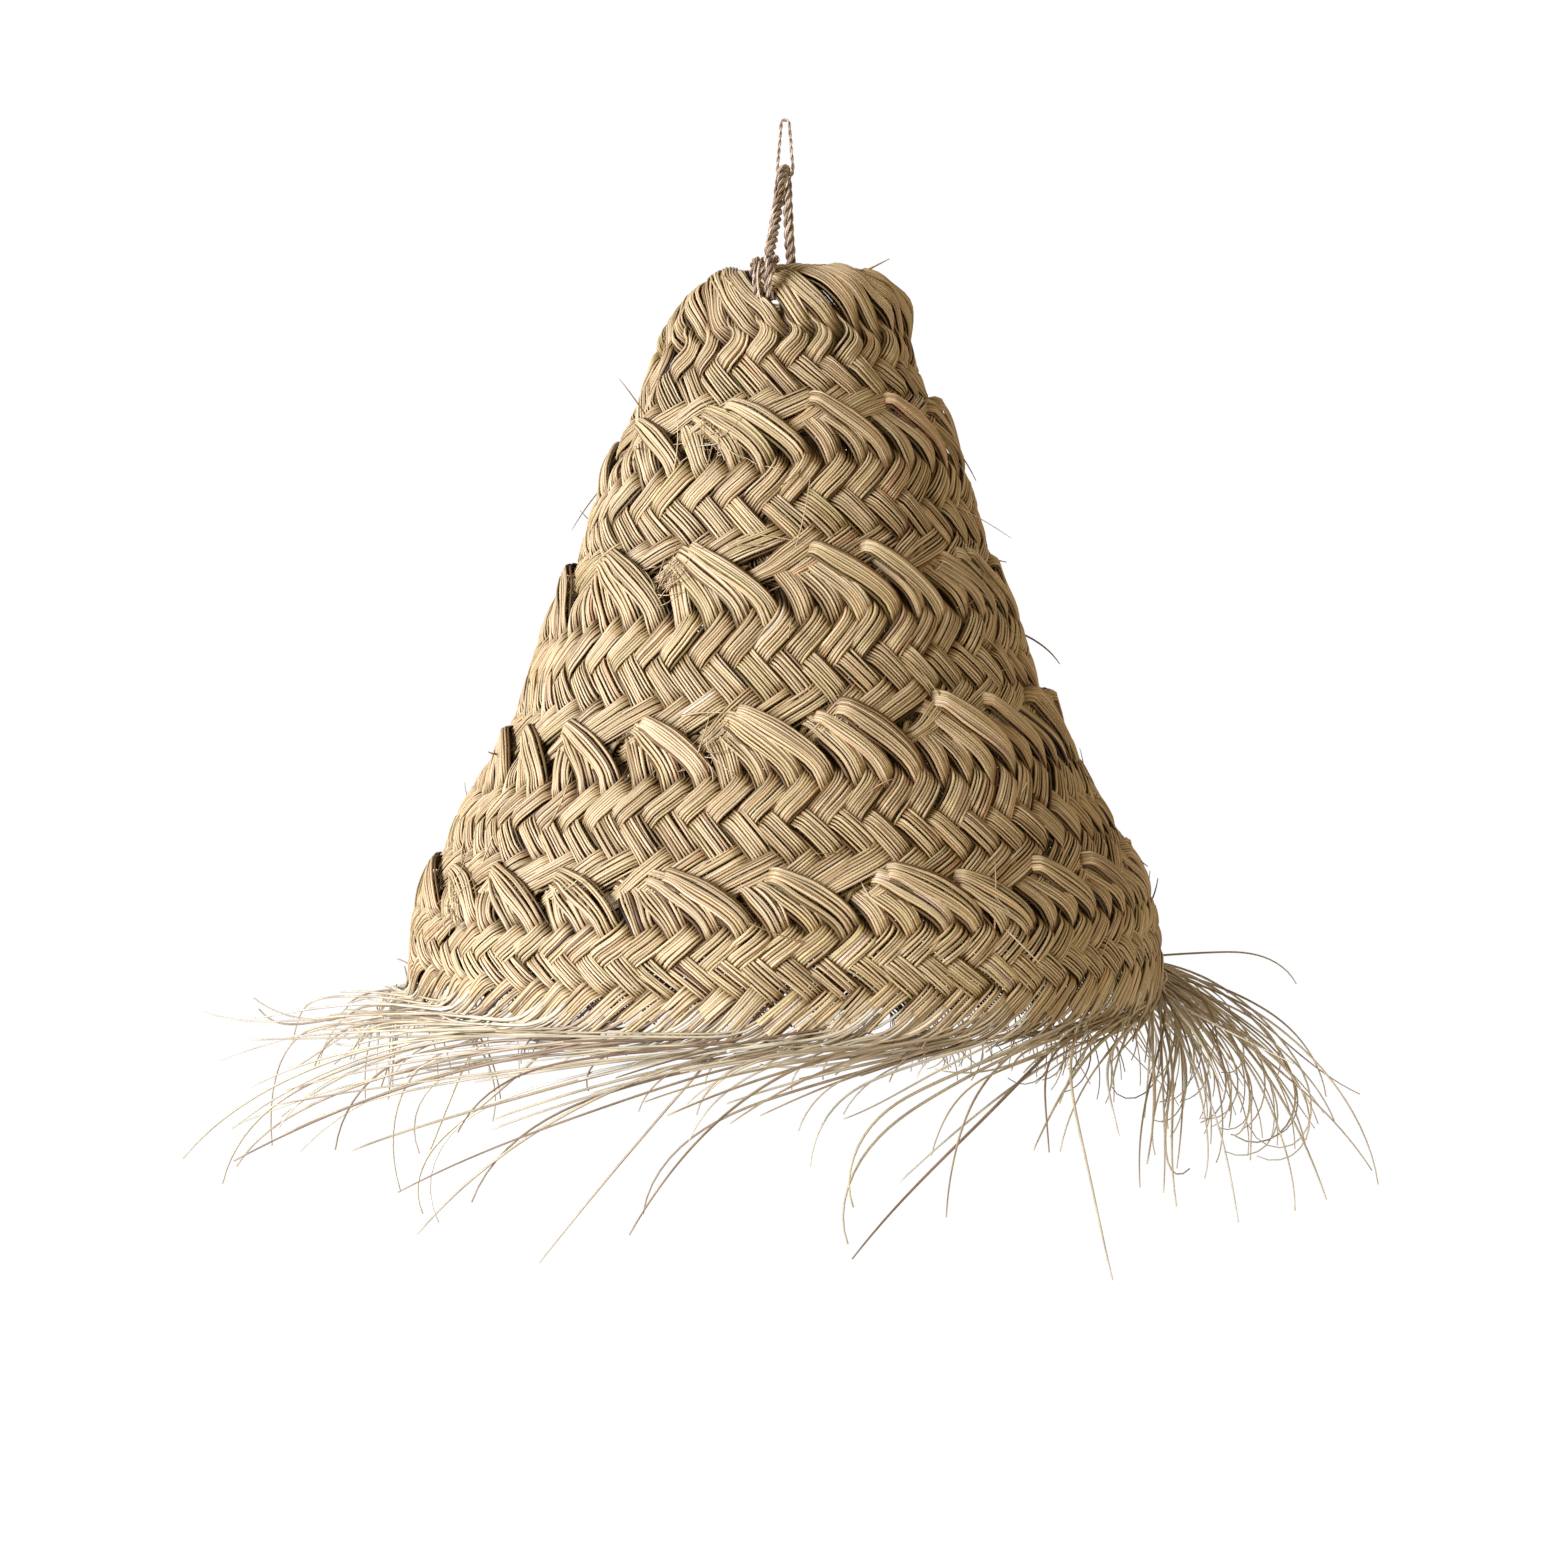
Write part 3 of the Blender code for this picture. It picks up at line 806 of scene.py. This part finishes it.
def make_fringe(rim, material):
    """The raw strand ends of the last ring."""
    draw = np.random.default_rng(77)
    places, outward = rim
    pick = draw.permutation(len(places))[:FRINGE_BLADES]
    pick.sort()
    starts = places[pick, 3] - places[pick, 6]
    starts /= np.linalg.norm(starts, axis=1)[:, None]
    roots = places[pick, 2] - starts * 0.004
    lines, length = fringe_lines(roots, starts, draw)
    radius = (draw.uniform(0.00060, 0.00088, FRINGE_BLADES)[:, None]
              * taper_to_tip(FRINGE_POINTS, 0.42, 2.2)[None, :])
    tint = draw.uniform(0, 1, (FRINGE_BLADES, 1))
    gone = length[:, None] * np.linspace(0, 1, FRINGE_POINTS)
    looks = looks_of(tint, 1.0, gone + tint * 3)
    normals = np.broadcast_to(outward[pick, 1][:, None, :] + np.array([0, 0, 0.35]), lines.shape)
    for part in range(FRINGE_PIECES):
        some = slice(part * FRINGE_BLADES // FRINGE_PIECES,
                     (part + 1) * FRINGE_BLADES // FRINGE_PIECES)
        name = f"fringe_blades_{part + 1}"
        mesh = tube_mesh(name, lines[some], normals[some], radius[some], looks[some], BLADE_SIDES)
        tufts = range(part * TUFTS // FRINGE_PIECES, (part + 1) * TUFTS // FRINGE_PIECES)
        nodes = [f"fringe_tuft_{tuft + 1:02d}" for tuft in tufts]
        add_piece(name, mesh, material, "cone", "fringe_blades", *nodes)


# ---------------------------------------------------------------- cords


def frames_along(path):
    """Two directions square to the path at each point, that turn as little as they can."""
    run = np.gradient(path, axis=0)
    run /= np.linalg.norm(run, axis=1)[:, None]
    first = np.cross(run[0], (0.3, 1.0, 0.2))
    ones = []
    for direction in run:
        first = first - direction * np.dot(first, direction)
        first = first / np.linalg.norm(first)
        ones.append(first)
    ones = np.array(ones)
    return ones, np.cross(run, ones)


def twist(path, draw, plies, ply_reach, lay, strands, strand_reach, strand_lay, radius):
    """The strands of a twisted cord: lines, outward directions, radii and looks."""
    along = distances_along(path)
    one, other = frames_along(path)
    lines, normals, radii, looks = [], [], [], []
    for ply in range(plies):
        turn = 2 * math.pi * (along / lay + ply / plies)
        out = one * np.cos(turn)[:, None] + other * np.sin(turn)[:, None]
        for strand in range(strands):
            angle = 2 * math.pi * (strand / strands - along / strand_lay) + draw.uniform(0, 0.5)
            ring = one * np.cos(angle)[:, None] + other * np.sin(angle)[:, None]
            reach = strand_reach * draw.uniform(0.9, 1.1)
            lines.append(path + out * ply_reach + ring * reach)
            normals.append(out + ring)
            radii.append(radius * draw.uniform(0.88, 1.14) * np.ones(len(path)))
            tint = draw.uniform(0, 1)
            # Painted shade: a strand's colour is darker where it lies on the inner side of its ply,
            # down between the plies.
            facing = 0.72 + 0.28 * np.sum(ring * out, axis=1)
            looks.append(looks_of(tint, facing, along + tint * 3))
    return np.array(lines), np.array(normals), np.array(radii), np.array(looks)


def rope_route():
    """From the front hitch up over the twine and down to the rear hitch, as in the CAD."""
    top_z = ROPE_RADIUS + CLEARANCE + TWINE_RADIUS - TWINE_LENGTH_DOWN
    legs = []
    for _, side_x, side in HITCH_PLACES:
        foot = Vector((side_x, side * HITCH_REACH, HITCH_Z + HITCH_RADIUS))
        lean = (Vector((0, 0, top_z)) - foot).normalized()
        start = foot + lean * (HITCH_CORD_RADIUS + ROPE_RADIUS + 2 * CLEARANCE)
        shoulder = Vector((side_x * 0.12, side * ROPE_BEND * 0.86, top_z - ROPE_BEND * 0.42))
        belly = start.lerp(shoulder, 0.5) - Vector((0, side * 0.0012, 0.0012))
        legs.append([start, belly, shoulder])
    return legs[0] + [Vector((0, 0, top_z))] + legs[1][::-1]


def some_points(path, step):
    """Every so many points of a path, and its last one, as plain numbers."""
    return [tuple(map(float, place)) for place in (*path[::step], path[-1])]


def make_rope(material):
    """The three-ply rope that the cone hangs by, drawn in a little where it leaves a hitch."""
    draw = np.random.default_rng(11)
    path = even_line(smooth_line(rope_route(), 24), 200)
    lines, normals, radii, looks = twist(path, draw, *ROPE_TWIST)
    share = np.linspace(0, 1, len(path))
    snug = 0.70 + 0.30 * smooth(0.0, 0.045, np.minimum(share, 1 - share))
    lines = path + (lines - path) * snug[:, None]
    mesh = tube_mesh("rope", lines, normals, radii, looks, CORD_SIDES)
    piece = add_piece("rope", mesh, material, "rope", "twisted_rope", "hanging_rope")
    points = some_points(path, 6)
    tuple(points[0])


def make_twine(material):
    """The thin twine: up one leg, over the hook's place and down to the rope again."""
    draw = np.random.default_rng(12)
    high = -TWINE_TOP_LEG_X + TWINE_RADIUS
    low = TWINE_LEG_X - TWINE_LENGTH_DOWN
    turns = np.linspace(0, math.pi / 2, 9)
    under = np.stack([np.sin(turns) * TWINE_LEG_X, np.zeros_like(turns),
                      low - np.cos(turns) * TWINE_LEG_X], axis=1)
    turns = np.linspace(0, math.pi, 15)
    over = np.stack([np.cos(turns) * TWINE_TOP_LEG_X, np.zeros_like(turns),
                     high + np.sin(turns) * TWINE_TOP_LEG_X], axis=1)
    back = under[::-1] * np.array([-1, 1, 1])
    path = even_line(np.concatenate([under, over, back]), 130)
    mesh = tube_mesh("twine", *twist(path, draw, *TWINE_TWIST), CORD_SIDES)
    piece = add_piece("twine", mesh, material, "hanger", "pale_twine", "twine_loop")
    points = some_points(path, 3)
    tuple(points[0])


def make_hitches(material, straw):
    """Each end of the rope, turned twice round the crown's edge, and a blade hanging from it."""
    for number, (end, side_x, side) in enumerate(HITCH_PLACES):
        draw = np.random.default_rng(20 + number)
        centre = np.array([side_x, side * (HITCH_REACH + 0.0004), HITCH_Z + 0.0008])
        up, out = np.array([0, 0, 1.0]), np.array([0, side, 0.0])
        turn = np.linspace(0.30 * math.pi, 5.1 * math.pi, 90)
        share = np.linspace(0, 1, len(turn))
        reach = HITCH_RADIUS + 0.0011 + 0.0005 * np.sin(1.7 * turn)
        aside = 0.0034 - 0.0098 * smooth(0.0, 1.0, share) + 0.0009 * np.sin(2.0 * turn)
        path = (centre + up * (np.sin(turn) * reach * 1.06)[:, None]
                + out * (np.cos(turn) * reach)[:, None]
                + np.array([1.0, 0, 0]) * aside[:, None])
        mesh = tube_mesh(f"{end}_hitch_rope", *twist(path, draw, *HITCH_TWIST), CORD_SIDES)
        add_piece(f"{end}_hitch_rope", mesh, material, "cone", "twisted_rope", f"{end}_hitch")
        hang = np.array([
            centre + out * 0.0085 + up * 0.0060 + (-0.004, 0, 0),
            centre + out * 0.0115 + up * -0.0020 + (-0.005, 0, 0),
            centre + out * 0.0125 + up * -0.0120 + (-0.004, 0, 0),
            centre + out * 0.0150 + up * -0.0230 + (0.001, 0, 0),
        ])
        line = even_line(smooth_line(hang, 8), 16)[None]
        looks = np.broadcast_to(np.array([0.62, 1.0, 0.5]), line.shape)
        blade = tube_mesh(f"{end}_hitch_blade", line, np.broadcast_to(out, line.shape),
                          0.00062 * taper_to_tip(line.shape[1], 0.4, 1.5)[None], looks,
                          BLADE_SIDES)
        add_piece(f"{end}_hitch_blade", blade, straw, "cone", "fringe_blades")


def make_crown_binding(material):
    """Coils of blades that edge the hole in the crown."""
    draw = np.random.default_rng(31)
    turn = np.linspace(0, 2 * math.pi, BINDING_POINTS)
    lines, normals, radii, looks = [], [], [], []
    for radius, height, thick, lay in BINDING_COILS:
        wave = waves(turn, int(radius * 1e5), 2, 7, 0.0006)
        path = np.stack([(radius + wave) * np.cos(turn), (radius + wave) * np.sin(turn),
                         CROWN_TOP_Z + height + 0.7 * wave], axis=1)
        path[:, 0] += CROWN_LEAN
        outward = np.stack([np.cos(turn), np.sin(turn), np.zeros_like(turn)], axis=1)
        upward = np.broadcast_to((0, 0, 1.0), outward.shape)
        for strand in range(BINDING_STRANDS):
            angle = (2 * math.pi * strand / BINDING_STRANDS
                     + turn * round(2 * math.pi * radius / lay))
            ring = outward * np.cos(angle)[:, None] + upward * np.sin(angle)[:, None]
            lines.append(path + ring * thick * draw.uniform(0.85, 1.1))
            normals.append(ring)
            radii.append(np.full(len(turn), BINDING_STRAND_RADIUS * draw.uniform(0.85, 1.15)))
            tint = draw.uniform(0.1, 1)
            # Painted shade: the binding is painted slightly shaded all along.
            looks.append(looks_of(tint, 0.9, turn * radius + tint * 3))
    mesh = tube_mesh("crown_binding_blades", np.array(lines), np.array(normals),
                     np.array(radii), np.array(looks), BLADE_SIDES)
    add_piece("crown_binding_blades", mesh, material, "cone", "esparto_plait", "crown_binding")


def make_seam_cords(material):
    """The cord that sews each ring to the ring above it, wound along the seam."""
    draw = np.random.default_rng(51)
    for seam, (height, _) in enumerate(SEAMS):
        azimuth = np.linspace(0, 2 * math.pi, SEAM_POINTS)
        radius = wall.radius_at(wall.distance_of_height(height))
        winds = round(2 * math.pi * radius / SEAM_STITCH)
        lines, normals, looks = [], [], []
        for strand in range(SEAM_STRANDS):
            turn = winds * azimuth + strand * 0.55 + draw.uniform(0, 0.3)
            distance = seam_distance(seam, azimuth) + SEAM_SWING * np.cos(turn)
            rise = -PLAIT_THICKNESS / 2 - 0.0012 + SEAM_DEPTH * np.sin(turn) - 0.0005
            places, outward = wall.points(distance, azimuth, rise)
            lines.append(places)
            normals.append(outward)
            tint = draw.uniform(0, 1)
            # Painted shade: the seam cord lies sunk in the seam and is painted half in shade.
            looks.append(looks_of(tint, 0.55, azimuth * radius + tint))
        mesh = tube_mesh(f"seam_cord_{seam + 1}_strands", np.array(lines), np.array(normals),
                         np.full((SEAM_STRANDS, SEAM_POINTS), SEAM_STRAND_RADIUS),
                         np.array(looks), THIN_SIDES)
        add_piece(f"seam_cord_{seam + 1}_strands", mesh, material, "cone", "esparto_cord",
                  f"seam_cord_{seam + 1}")


straw = straw_material("plaited_straw", STRAW_STOPS, 0.55)
loose = straw_material("loose_blades", FRINGE_STOPS, 0.5, 0.16, 0.70)
rope = straw_material("twisted_rope_fibre", ROPE_STOPS, 0.8, 0.20, 0.70)
twine = straw_material("pale_twine_fibre", TWINE_STOPS, 0.7, 0.10, 0.85)

make_rope(rope)
make_twine(twine)
make_hitches(rope, loose)
rings = make_plait(straw)
make_crown_binding(straw)
make_seam_cords(straw)
make_stray_blades(rings, straw)
make_fringe(rings[-1], loose)


# ---------------------------------------------------------------- light, floor and camera


def lit_for_camera(nodes, links, plain, seen, output):
    """What the camera sees directly, and the plain shader for all other rays."""
    mix = nodes.new("ShaderNodeMixShader")
    ray = nodes.new("ShaderNodeLightPath")
    links.new(ray.outputs["Is Camera Ray"], mix.inputs["Fac"])
    links.new(plain.outputs[0], mix.inputs[1])
    links.new(seen.outputs[0], mix.inputs[2])
    links.new(mix.outputs[0], output.inputs["Surface"])


def make_studio():
    scene = bpy.context.scene
    scene.view_settings.view_transform = "Standard"
    world = bpy.data.worlds.new("studio")
    scene.world = world
    world.use_nodes = True
    nodes, links = world.node_tree.nodes, world.node_tree.links
    sky = nodes["Background"]
    sky.inputs["Color"].default_value = (1.0, 0.86, 0.68, 1)
    sky.inputs["Strength"].default_value = 0.24
    seen = nodes.new("ShaderNodeBackground")
    seen.inputs["Color"].default_value = (1, 1, 1, 1)
    lit_for_camera(nodes, links, sky, seen, nodes["World Output"])

    size, low = FLOOR_HALF_WIDTH, FLOOR_Z
    floor_mesh = bpy.data.meshes.new("floor")
    floor_mesh.from_pydata([(-size, -size, low), (size, -size, low), (size, size, low),
                            (-size, size, low)], [], [(0, 1, 2, 3)])
    floor = bpy.data.objects.new("floor", floor_mesh)
    scene.collection.objects.link(floor)
    paint = bpy.data.materials.new("pale_floor")
    paint.use_nodes = True
    nodes, links = paint.node_tree.nodes, paint.node_tree.links
    shader = nodes["Principled BSDF"]
    shader.inputs["Base Color"].default_value = (0.9, 0.9, 0.9, 1)
    shader.inputs["Roughness"].default_value = 0.9
    shader.inputs["Emission Color"].default_value = (1, 1, 1, 1)
    shader.inputs["Emission Strength"].default_value = 0.12
    glow = nodes.new("ShaderNodeEmission")
    lit_for_camera(nodes, links, shader, glow, nodes["Material Output"])
    floor_mesh.materials.append(paint)

    for light in LIGHTS:
        add_light(*light)


def add_light(name, place, target, size, power, colour):
    light = bpy.data.lights.new(name, "AREA")
    light.color = colour
    light.shape = "SQUARE"
    light.size = size
    light.energy = power
    lamp = bpy.data.objects.new(name, light)
    lamp.location = place
    lamp.rotation_euler = (Vector(target) - Vector(place)).to_track_quat("-Z", "Y").to_euler()
    bpy.context.scene.collection.objects.link(lamp)


def make_camera():
    data = bpy.data.cameras.new("camera")
    data.lens = CAMERA_LENS
    data.sensor_width = 36.0
    data.clip_start = 0.01
    camera = bpy.data.objects.new("camera", data)
    camera.location = CAMERA_PLACE
    camera.rotation_euler = (math.radians(90 - CAMERA_DIP), 0, 0)
    bpy.context.scene.collection.objects.link(camera)
    bpy.context.scene.camera = camera


make_studio()
make_camera()
